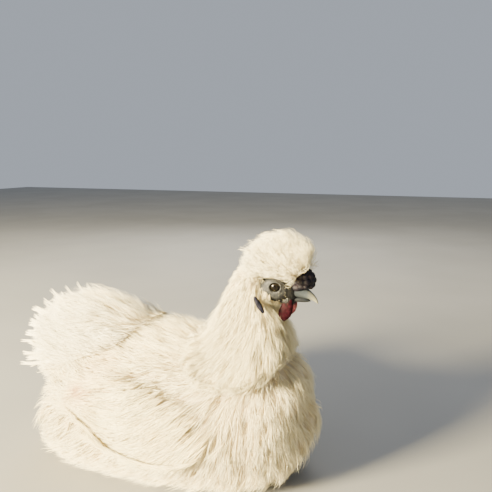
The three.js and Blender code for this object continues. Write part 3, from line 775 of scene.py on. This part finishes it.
# The skin: every fleshy node as one surface, under the coat
def wing_slab(side):
    """A thin closed body where the wing lies on the flank."""
    count, around = 12, 16
    u = np.linspace(0.04, 0.88, count)
    v = np.arange(around) / around * 2 * math.pi
    uu, vv = (grid.ravel() for grid in np.meshgrid(u, v, indexing="ij"))
    middle, half = wing_section(uu)
    angle = middle + half / WING_GIRTH * 0.86 * np.cos(vv)
    lift = COAT * np.minimum(np.sin(vv), 0) - 3 - 5 * smooth(0.35 - uu, 0, 0.35)
    turn = angle if side > 0 else math.pi - angle
    rings = flank.point(mix(WING_SHOULDER, WING_TIP, uu), turn, lift).reshape(count, around, 3)
    return skin_rings(rings[0].mean(axis=0), rings, rings[-1].mean(axis=0))


skin_parts = [torso.grid(60, 72), neck.grid(40, 48), crest.grid(24, 32), tail.grid(30, 40)]
skin_parts += [wing_slab(1), wing_slab(-1)]
# The down is a darker cream than the plumage: its colour darkened as painted shade where it shows between the
# tufts.
down = Paint("down", roughness=0.95, Sheen_Weight=0.15)
down.colour(down.ramp(down.noise(60, 5), (0.3, (0.62, 0.50, 0.32)), (0.7, (0.76, 0.66, 0.46))))
down.bump(down.noise(500, 6), 0.6, 0.002)
skin = down.on(fused(joined("skin", skin_parts), 3.0, rounds=4))
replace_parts(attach(skin, "root"), "torso", "neck", "crest", "tail", "wing_left", "wing_right")


# The coat's regions
def keep_all(strands):
    return strands, np.ones(len(strands), bool)


def grow(name, form, at, lie, paint, rng, rise, length, barbs, spread, width, frizz, clear=keep_all, **bend):
    """Plumes of one region, each a fan of strands; clear moves them and says which ones stay."""
    t, angle = at
    paths, normals = shafts(form, t, angle, lie, length, rise, rng, **bend)
    paths, _ = clear(paths)
    strands, facing, owner = fan(paths, normals, barbs, spread, rng, frizz)
    thick = rng.uniform(*width, len(owner)) / math.sqrt(COAT_SHARE)
    tint = np.clip(rng.uniform(0, 1, len(t))[owner] * 0.6 + rng.uniform(0, 0.4, len(owner)), 0, 1)
    strands, kept = clear(strands)
    roots = unwrap(t / form.last, angle)[owner]
    columns = (each[kept] for each in (strands, facing, thick, roots, tint, warmth(strands[:, 2])))
    add_strands(name, *columns, paint)


def grow_torso():
    rng = default_rng(31)

    def keep(p, t, angle):
        u, across = wing_coordinates(t, angle)
        under_wing = (u > 0.15) & (u < 0.95) & (across > -0.85) & (across < 0.6)
        under_neck = ((p[:, 0] - 57) / 42) ** 2 + (p[:, 1] / 58) ** 2 < 0.4
        under_neck &= p[:, 2] > 100
        under_tail = 0.83 * (-55 - p[:, 0]) + 0.55 * (p[:, 2] - 160) > 2
        under_tail &= (np.abs(p[:, 1]) < 46) & (p[:, 2] > 60) & (p[:, 0] > -150)
        belly = p[:, 2] < 2
        return ~(under_wing | under_neck | under_tail | belly)

    t, angle = scatter(torso, 2720, rng, (0.15, 10.8), keep)
    u, across = wing_coordinates(t, angle)
    over_wing = (u > 0) & (u < 1) & (np.abs(across) < 1.35)
    rise = COAT + mix(-3.0, 0.5, smooth(t, 2, 4.5)) + np.where(over_wing & (across > 0), 3.0, 0.0)
    rise -= 5 * smooth(t, 8, 10)
    root = torso.point(t, angle, 10.0)
    groove = np.exp(-(((behind_groove(root) + 6) / 14) ** 2)) * smooth(root[:, 2], 90, 130)
    rise += 6 * rump_share(root) + 2 * groove
    rise = mix(1.0, rise, off_belly(angle))
    length = rng.uniform(34, 54, len(t)) * mix(0.8, 1, smooth(t, 1, 3.5)) * mix(1, 0.55, smooth(t, 8.2, 10.2))
    grow(
        "coat_torso", torso, (t, angle), body_lie, WHITE, rng, rise, length,
        lock=(0.3, 0.18, 0.5), barbs=10, spread=6.0, width=(0.4, 0.75), frizz=1.6, sway=0.35,
    )


def grow_neck():
    rng = default_rng(32)

    def keep(p, t, angle):
        return (inside_torso(p)[0] > 0.98) & off_the_face(p)

    t, angle = scatter(neck, 1950, rng, (0.3, 7.4), keep)
    length = rng.uniform(0.85, 1.15, len(t)) * mix(13, 44, smooth(t, 0.8, 4.6))
    length *= mix(1, rng.uniform(0.6, 1.15, len(t)), smooth(t, 4.5, 6.5))
    grow(
        "coat_neck", neck, (t, angle), neck_lie, NECK_WHITE, rng, rise=NECK_COAT * neck_share(t) + 0.5,
        length=length, lock=(0.36, 0.26, 0.5), barbs=10, spread=4.4 * length / 44 + 0.8, width=(0.32, 0.6),
        frizz=1.2, clear=lambda strands: clear_of_face(over_torso(strands, 0.4)), sway=0.22,
    )


def grow_crest():
    rng = default_rng(33)
    t, angle = scatter(crest, 1500, rng, (0.1, 6.2), lambda p, t, angle: off_the_face(p))
    length = rng.uniform(15, 29, len(t)) * mix(1, 0.5, smooth(t, 4.0, 6.2))
    rise = (CREST_COAT - 0.5) * rng.uniform(0.85, 1.12, len(t)) - 4 * smooth(t, 4.0, 6.2)
    grow(
        "coat_crest", crest, (t, angle), crest_lie, CREST_WHITE, rng, rise, length,
        lock=(0.3, 0.3, 0.25), barbs=10, spread=3.0, width=(0.22, 0.38), frizz=1.2, clear=clear_of_face,
        sway=0.2, early=1.0,
    )


def grow_tail():
    rng = default_rng(34)
    t, angle = scatter(tail, 1320, rng, (0.3, 6.3), lambda p, t, angle: inside_torso(p)[0] > 0.86)
    length = rng.uniform(40, 74, len(t)) * mix(1.0, 0.55, smooth(t, 2.7, 6.0))
    length *= mix(1.0, 0.5, smooth(t, 4.4, 5.9))
    rise = TAIL_COAT * tail_share(t) + 4 * (1 - smooth(t, 0.6, 2.2))
    rise -= 3 * smooth(t, 2.2, 3.5) + 5.5 * smooth(t, 3.4, 5.2)
    grow(
        "coat_tail", tail, (t, angle), tail_lie, TAIL_WHITE, rng, rise, length,
        lock=(0.36, 0.22, 0.5), barbs=10, spread=6.5, width=(0.4, 0.7), frizz=2.4,
        clear=lambda strands: keep_all(over_torso(strands, 1.5)), sway=0.3, early=0.95,
        curl=rng.uniform(-0.1, 0.25, len(t)),
    )


def grow_tail_tips():
    """Sparse straps that stand out of the tail's upper and hind edge."""
    rng = default_rng(37)
    t, angle = scatter(tail, 106, rng, (3.3, 6.6), lambda p, t, angle: np.sin(angle) > -0.5)
    normal = tail.tangents(t, angle)[2]
    root = tail.point(t, angle, -8.0)
    out = unit(tail_lie(root))
    reach = rng.uniform(21, 30, len(t)) * mix(0.72, 1.0, smooth(t, 3.3, 4.8))
    length = (reach / np.maximum((out * normal).sum(axis=1), 0.5))[:, None, None]
    bend = rng.uniform(-0.15, 0.25, len(t))[:, None, None] * (0, 0, 1)
    s = np.linspace(0, 1, SHAFT_STEPS)[:, None]
    paths = root[:, None] + length * (out[:, None] * s + bend * s**2)
    flat = unit(np.sign(root[:, 1:2]) * (0, 1, 0) + 0.4 * normal)
    facing = np.repeat(flat[:, None], SHAFT_STEPS, axis=1)
    strands, facing, owner = fan(paths, facing, barbs=45, spread=2.1, rng=rng, frizz=0.3, start=0.75)
    roots = unwrap(t / tail.last, angle)[owner]
    thick = rng.uniform(0.5, 0.9, len(owner)) / math.sqrt(COAT_SHARE)
    tint = rng.uniform(0.3, 1, len(owner))
    add_strands("coat_tail_tips", strands, facing, thick, roots, tint, warmth(strands[:, 2]), TAIL_WHITE)


def wing_path(u, across, lift):
    """Points on a wing's outside, for the left wing."""
    middle, half = wing_section(u)
    angle = middle + half / WING_GIRTH * across
    t = mix(WING_SHOULDER, WING_TIP, u)
    return flank.point(t, angle, lift), flank.tangents(t, angle)[2]


def flight_path(across, s, rng):
    """A flight feather's shaft, which comes out from under the other plumage."""
    u = mix(rng.uniform(0.34, 0.5), rng.uniform(0.96, 1.03), s)
    return wing_path(u, across * (1 - 0.6 * s**2), mix(-3.0, 4.2 + 1.2 * across, smooth(s, 0.05, 0.5)))


def quill_path(start, s, rng):
    """A quill along the wing's lower edge."""
    across = -1.0 + 0.06 * rng.uniform(-1, 1)
    return wing_path(mix(start, start + 0.38, s), across, 4.2 + 1.8 * np.sin(math.pi * s))


def grow_flights():
    """Flight feathers at the wing's tip, and a row of quills as its lower rim."""
    rng = default_rng(38)
    s = np.linspace(0, 1, SHAFT_STEPS)
    left = [flight_path(across, s, rng) for across in np.linspace(0.75, -0.8, 11)]
    left += [quill_path(start, s, rng) for start in np.linspace(0.07, 0.6, 9)]
    paths, normals = (np.array(each) for each in zip(*left))
    paths, normals = (np.concatenate([each, each * (1, -1, 1)]) for each in (paths, normals))
    vanes, facing, _ = fan(paths, normals, 60, 2.7, rng, frizz=0.7, start=0.85, length_share=(0.16, 0.4))
    strands = np.concatenate([vanes, paths[:, ::2]])
    facing = np.concatenate([facing, normals[:, ::2]])
    width = np.concatenate([rng.uniform(0.28, 0.5, len(vanes)), np.full(len(paths), 1.3)])
    root = strands[:, 0]
    place = np.interp(-root[:, 0], -flank.rows[:, 0], np.arange(flank.last + 1))
    turn = np.arctan2(root[:, 2] - flank.section(place)[1], root[:, 1])
    roots = unwrap(place / flank.last, turn)
    tint = rng.uniform(0, 1, len(strands))
    add_strands("coat_flights", strands, facing, width, roots, tint, warmth(strands[:, 2]), WING_WHITE)


def grow_wings():
    rng = default_rng(35)

    def keep(p, t, angle):
        u, across = wing_coordinates(t, angle)
        return (u > -0.12) & (u < 0.92) & (across > -0.95) & (across < 1.15)

    t, angle = scatter(flank, 950, rng, (3.4, 7.4), keep)
    u, _ = wing_coordinates(t, angle)
    length = rng.uniform(34, 54, len(t)) * mix(1, 0.7, smooth(u, 0.5, 0.85))
    grow(
        "coat_wings", flank, (t, angle), wing_lie, WING_WHITE, rng, rise=mix(0.8, 3.6, smooth(u, -0.1, 0.3)),
        length=length, lock=(0.26, 0.12, 0.4), barbs=9, spread=4.0, width=(0.4, 0.7), frizz=1.0, sway=0.16,
    )


def grow_cheeks():
    """Short plumes from the head's lower side down to the hackle."""
    rng = default_rng(36)
    t, angle = scatter(head, 620, rng, (0.6, 3.9), lambda p, t, angle: np.sin(angle) < 0.0)
    grow(
        "coat_cheeks", head, (t, angle), throat_lie, NECK_WHITE, rng, rise=6.0,
        length=rng.uniform(10, 22, len(t)), lock=(0.5, 0.4, 0.3), barbs=8, spread=2.4, width=(0.18, 0.32),
        frizz=1.0, clear=clear_of_face, sway=0.3,
    )


def grow_bristles():
    """Sparse bristles on the bare skin between the eye and the beak."""
    rng = default_rng(39)

    def keep(p, t, angle):
        local = np.abs(p - HEAD)
        beside_lids = np.hypot(local[:, 0] - EYE[0], local[:, 2] - EYE[2]) > 9
        return beside_lids & (np.abs(np.sin(angle)) < 0.75)

    t, angle = scatter(head, 50, rng, (2.6, 5.0), keep)
    grow(
        "coat_bristles", head, (t, angle), bristle_lie, CREST_WHITE, rng, rise=1.3,
        length=rng.uniform(2.5, 4.5, len(t)), lock=(0.2, 0.2, 0.0), barbs=3, spread=0.5, width=(0.05, 0.09),
        frizz=0.2, sway=0.4,
    )


regions = [grow_cheeks, grow_bristles, grow_tail_tips, grow_flights, grow_torso]
regions += [grow_neck, grow_crest, grow_tail, grow_wings]
for grow_region in regions:
    grow_region()


# The bare face, with lids round each eye
LID_RIDGES = ((1.3, 5.5, 0.8), (0.6, 7.6, 0.8), (0.4, 9.6, 0.7))  # height, distance from the eye, width


def face_mesh():
    points, faces = head.grid(90, 120)
    x, y, z = (points - HEAD).T
    away = np.hypot((x - EYE[0] - 0.7) / 1.04, (z - EYE[2]) / 0.9)
    lids = sum(high * np.exp(-(((away - place) / wide) ** 2)) for high, place, wide in LID_RIDGES)
    hollow = -5.5 * smooth(4.9 - away, 0, 1.0)
    brow = 0.9 * np.exp(-(((z - 8.5) / 1.8) ** 2) - ((x - 3) / 8) ** 2)
    points[:, 1] += np.where(np.abs(y) > 4, np.sign(y) * (lids + hollow + brow), 0)
    chins = [ball(on_head(13.5, side * 6.2, -12), (6.5, 4.2, 6.5), 28, 18) for side in (1, -1)]
    thing = joined("face", [(points, faces), *chins])
    x, y, z = (np.concatenate([points, *(chin[0] for chin in chins)]) - HEAD).T
    add_values(thing.data, "tone", smooth(13.5 - np.hypot(x - 1, (z - 1) / 0.9), 0, 5))
    return thing


bare_skin = Paint("face_skin", roughness=0.55, Specular_IOR_Level=0.35)
slate = (0.34, (0.013, 0.014, 0.017)), (0.5, (0.036, 0.038, 0.042)), (0.68, (0.10, 0.10, 0.10))
mottled = bare_skin.ramp(bare_skin.noise(420, 6, 0.7), *slate)
darker_ahead = bare_skin.ramp(bare_skin.attribute("tone"), (0.0, (0.05, 0.05, 0.058)), (1.0, (1, 1, 1)))
bare_skin.colour(bare_skin.blend("MULTIPLY", 1.0, mottled, darker_ahead))
bare_skin.bump(bare_skin.cells(900), 0.55, 0.0007)
face = bare_skin.on(face_mesh())
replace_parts(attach(face, "root"), "head")


# Eyes: a ball with a dark pupil in an olive-brown ring under a wet surface
def eye_mesh(side, name):
    middle = on_head(EYE[0], side * EYE[1], EYE[2])
    points, faces = ball(middle, (EYE_RADIUS,) * 3, 48, 32)
    thing = add_mesh(name, points, faces)
    x, y, z = ((points - middle) / EYE_RADIUS).T
    add_values(thing.data, "ring", np.where(y * side > 0, np.hypot(x, z), 2.0))
    return thing


iris = Paint("eye", roughness=0.04, Specular_IOR_Level=0.25)
olives = (
    (0.0, (0.002, 0.002, 0.002)),
    (0.30, (0.003, 0.002, 0.002)),
    (0.35, (0.006, 0.005, 0.003)),
    (0.50, (0.011, 0.009, 0.005)),
    (0.58, (0.004, 0.003, 0.003)),
)
iris.colour(iris.ramp(iris.attribute("ring"), *olives))
for side, name in ((1, "left"), (-1, "right")):
    eye = iris.on(eye_mesh(side, "eyeball_" + name))
    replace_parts(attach(eye, "root"), "eye_" + name)


# Beak: two smooth halves, paler towards the tip, and a nostril slit on each side of the upper one
def beak_half(name, rows, nostrils):
    points, faces = Form(rows, origin=HEAD).grid(60, 48)
    x, y, z = (points - HEAD).T
    if nostrils:
        gap = np.hypot((x - 22) / 2.4, (z + 0.4) / 0.9)
        points[:, 1] -= np.sign(y) * 1.1 * smooth(1.25 - gap, 0, 1)
    thing = add_mesh(name, points, faces)
    add_values(thing.data, "tip", (x - 12) / 30 - (0 if nostrils else 0.5))
    return thing


horn = Paint("beak_horn", roughness=0.38, Coat_Weight=0.25, Coat_Roughness=0.3)
greys = (
    (0.0, (0.013, 0.015, 0.02)),
    (0.35, (0.03, 0.037, 0.046)),
    (0.65, (0.068, 0.083, 0.096)),
    (0.95, (0.40, 0.38, 0.25)),
)
streaks = horn.ramp(horn.noise(420, 3), (0.35, (0.72, 0.72, 0.74)), (0.65, (1, 1, 1)))
horn.colour(horn.blend("MULTIPLY", 1.0, horn.ramp(horn.attribute("tip"), *greys), streaks))
horn.bump(horn.noise(260, 4), 0.2, 0.0006)
for name, rows, nostrils in (("beak_upper", BEAK_UPPER_ROWS, True), ("beak_lower", BEAK_LOWER_ROWS, False)):
    half = horn.on(beak_half("horn_" + name, rows, nostrils))
    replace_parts(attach(half, "root"), name)


# Comb: a cushion of bulbs melted together
COMB_RINGS = ((4, 58, 0.8), (7, 26, 0.95), (8, -4, 1.1), (6, -32, 1.15))  # bulbs, degrees up, size


def comb_mesh():
    rng = default_rng(11)
    middle, radii = on_head(29, 0, 9), np.array([8.2, 9.5, 10.5])
    bulbs = [ball(middle, radii * 0.95)]
    for ring, (count, degrees, scale) in enumerate(COMB_RINGS):
        up, level = math.sin(math.radians(degrees)), math.cos(math.radians(degrees))
        for i in range(count):
            turn = ((i + 0.5 * (ring % 2) + rng.uniform(-0.15, 0.15)) / count - 0.5) * math.radians(260)
            out = np.array([math.cos(turn) * level, math.sin(turn) * level, up])
            bulbs.append(ball(middle + out * radii * 0.9, (rng.uniform(2.4, 3.4) * scale,) * 3, 14, 8))
    bulbs += [ball(on_head(22.5, side * 6, 2.0), (5.0, 3.6, 3.6), 14, 8) for side in (1, -1)]
    bulbs.append(ball(on_head(19, 0, 5.5), (6.5, 6.5, 5.5)))
    return fused(joined("comb_skin", bulbs), 0.5, rounds=3)


mulberry = Paint("comb_skin", roughness=0.6, Specular_IOR_Level=0.3)
plums = (0.3, (0.003, 0.003, 0.008)), (0.6, (0.010, 0.006, 0.012)), (0.85, (0.026, 0.011, 0.018))
mulberry.colour(mulberry.ramp(mulberry.noise(260, 4), *plums))
mulberry.bump(mulberry.noise(900, 3), 0.5, 0.0006)
comb = mulberry.on(comb_mesh())
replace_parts(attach(comb, "root"), "comb")


# Wattles and earlobes, placed from HEAD. A wattle's rows: ahead, height, half length and half thickness
WATTLE_ROWS = [
    [15.0, -9.5, 3.4, 1.6],
    [13.8, -15, 5.6, 2.4],
    [12.4, -21, 6.8, 2.6],
    [11.4, -26, 6.0, 2.3],
    [10.6, -29.5, 3.4, 1.6],
]
LOBE_AHEAD, LOBE_OUT, LOBE_UP = -8.8, 26.0, -12.5
LOBE_LEAN = math.radians(-32)


def wattle_mesh(side, name):
    rows = np.array(WATTLE_ROWS)
    place = np.linspace(0, len(rows) - 1, 34)
    x, z, length, thick = (np.interp(place, np.arange(len(rows)), row)[:, None] for row in rows.T)
    turn = np.arange(44) / 44 * 2 * math.pi
    out = side * (8.2 + 0.05 * (-9 - z))
    rings = np.stack([x + length * np.cos(turn), out + thick * np.sin(turn), z + 0 * turn], axis=2)
    grain = waves(rings.reshape(-1, 3), 0.55, 8).reshape(rings.shape[:2])
    folds = waves(rings.reshape(-1, 3) * (1, 1, 0.4), 1.6, 9).reshape(rings.shape[:2])
    rings[..., 1] += np.sign(np.sin(turn)) * (0.22 * grain + 0.3 * folds)
    points, faces = skin_rings((13.5, side * 8, -7.5), rings, (11.2, side * 9.2, -31.5))
    return add_mesh(name, points + HEAD, faces)


def lobe_mesh(side, name):
    points, faces = ball((0, 0, 0), (2.7, 2.2, 9.2), 32, 24)
    points[:, 1] += 0.25 * waves(points, 0.9, 6)
    x, y, z = points.T
    c, s = math.cos(LOBE_LEAN), math.sin(LOBE_LEAN)
    leaning = np.stack([c * x + s * z, y, -s * x + c * z], axis=1)
    return add_mesh(name, leaning + on_head(LOBE_AHEAD, side * LOBE_OUT, LOBE_UP), faces)


def flesh(name, dark, mid, light):
    paint = Paint(name, roughness=0.6, Specular_IOR_Level=0.08)
    paint.colour(paint.ramp(paint.noise(330, 4), (0.3, dark), (0.55, mid), (0.8, light)))
    paint.bump(paint.cells(1300), 0.3, 0.0005)
    return paint


# The near (right) wattle is painted dark as shade, and the far (left) one paler and pinker as lit.
WATTLE_PAINTED_SHADE = flesh("wattle_near_painted_shade", (0.005, 0.0004, 0.001), (0.017, 0.001, 0.004), (0.034, 0.003, 0.009))
WATTLE_PAINTED_LIGHT = flesh("wattle_far_painted_light", (0.12, 0.024, 0.035), (0.22, 0.065, 0.08), (0.36, 0.16, 0.17))
LOBE = flesh("earlobe_skin", (0.004, 0.004, 0.008), (0.014, 0.014, 0.026), (0.05, 0.046, 0.08))
for side, name, paint in ((1, "left", WATTLE_PAINTED_LIGHT), (-1, "right", WATTLE_PAINTED_SHADE)):
    wattle = paint.on(wattle_mesh(side, "wattle_skin_" + name))
    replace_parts(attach(wattle, "root"), "wattle_" + name)
    lobe = LOBE.on(lobe_mesh(side, "lobe_skin_" + name))
    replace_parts(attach(lobe, "root"), "earlobe_" + name)


# Feet: the solids' own shapes, in slate-grey scaled skin
leg_paint = Paint("leg_skin", roughness=0.7)
leg_paint.colour(leg_paint.ramp(leg_paint.cells(700), (0.0, (0.12, 0.13, 0.16)), (0.6, (0.045, 0.05, 0.062))))
leg_paint.bump(leg_paint.cells(700), 0.7, 0.001)
for name in ("leg_left", "leg_right"):
    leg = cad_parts[name]
    leg.data.materials.clear()
    leg_paint.on(leg)


# Floor, light and camera
FLOOR_HALF = 4000
PHOTO_PIXELS, FOCAL_PIXELS, SENSOR = 492, 500, 36
CAMERA_PLACE = (0.2226, -0.4521, 0.3195)
CAMERA_TURN, CAMERA_FALL = math.radians(20), math.radians(10)


def add_stage():
    corners = np.array([(-1, -1, 0), (1, -1, 0), (1, 1, 0), (-1, 1, 0)]) * FLOOR_HALF
    paint = Paint("floor", roughness=0.9)
    paint.colour(paint.ramp(paint.noise(3, 2), (0.4, (0.25, 0.25, 0.245)), (0.6, (0.27, 0.27, 0.265))))
    thing = paint.on(add_mesh("floor", corners, [(0, 1, 2, 3)]))


def add_light(name, place, aim, power, size, colour):
    data = bpy.data.lights.new(name, "AREA")
    data.energy, data.size, data.color = power, size, colour
    lamp = linked(name, data)
    lamp.location = place
    lamp.rotation_euler = (Vector(aim) - Vector(place)).to_track_quat("-Z", "Y").to_euler()


def add_camera():
    data = bpy.data.cameras.new("camera")
    data.sensor_width = SENSOR
    data.lens = SENSOR * FOCAL_PIXELS / PHOTO_PIXELS
    data.clip_start, data.clip_end = 0.01, 50
    camera = linked("camera", data)
    camera.location = CAMERA_PLACE
    camera.rotation_euler = (math.pi / 2 - CAMERA_FALL, 0, CAMERA_TURN)
    bpy.context.scene.camera = camera


def add_sky():
    world = bpy.data.worlds.new("world")
    world.use_nodes = True
    sky = world.node_tree.nodes["Background"]
    sky.inputs["Color"].default_value = (0.80, 0.88, 1.0, 1)
    sky.inputs["Strength"].default_value = 0.5
    bpy.context.scene.world = world


add_stage()
add_camera()
add_light("key", (-1.1, -1.4, 0.66), aim=(-0.02, 0, 0.1), power=420, size=0.45, colour=(1.0, 0.84, 0.5))
add_light("back", (-0.5, 1.3, 1.0), aim=(0.0, 0, 0.12), power=22, size=1.0, colour=(1.0, 0.97, 0.9))
add_sky()
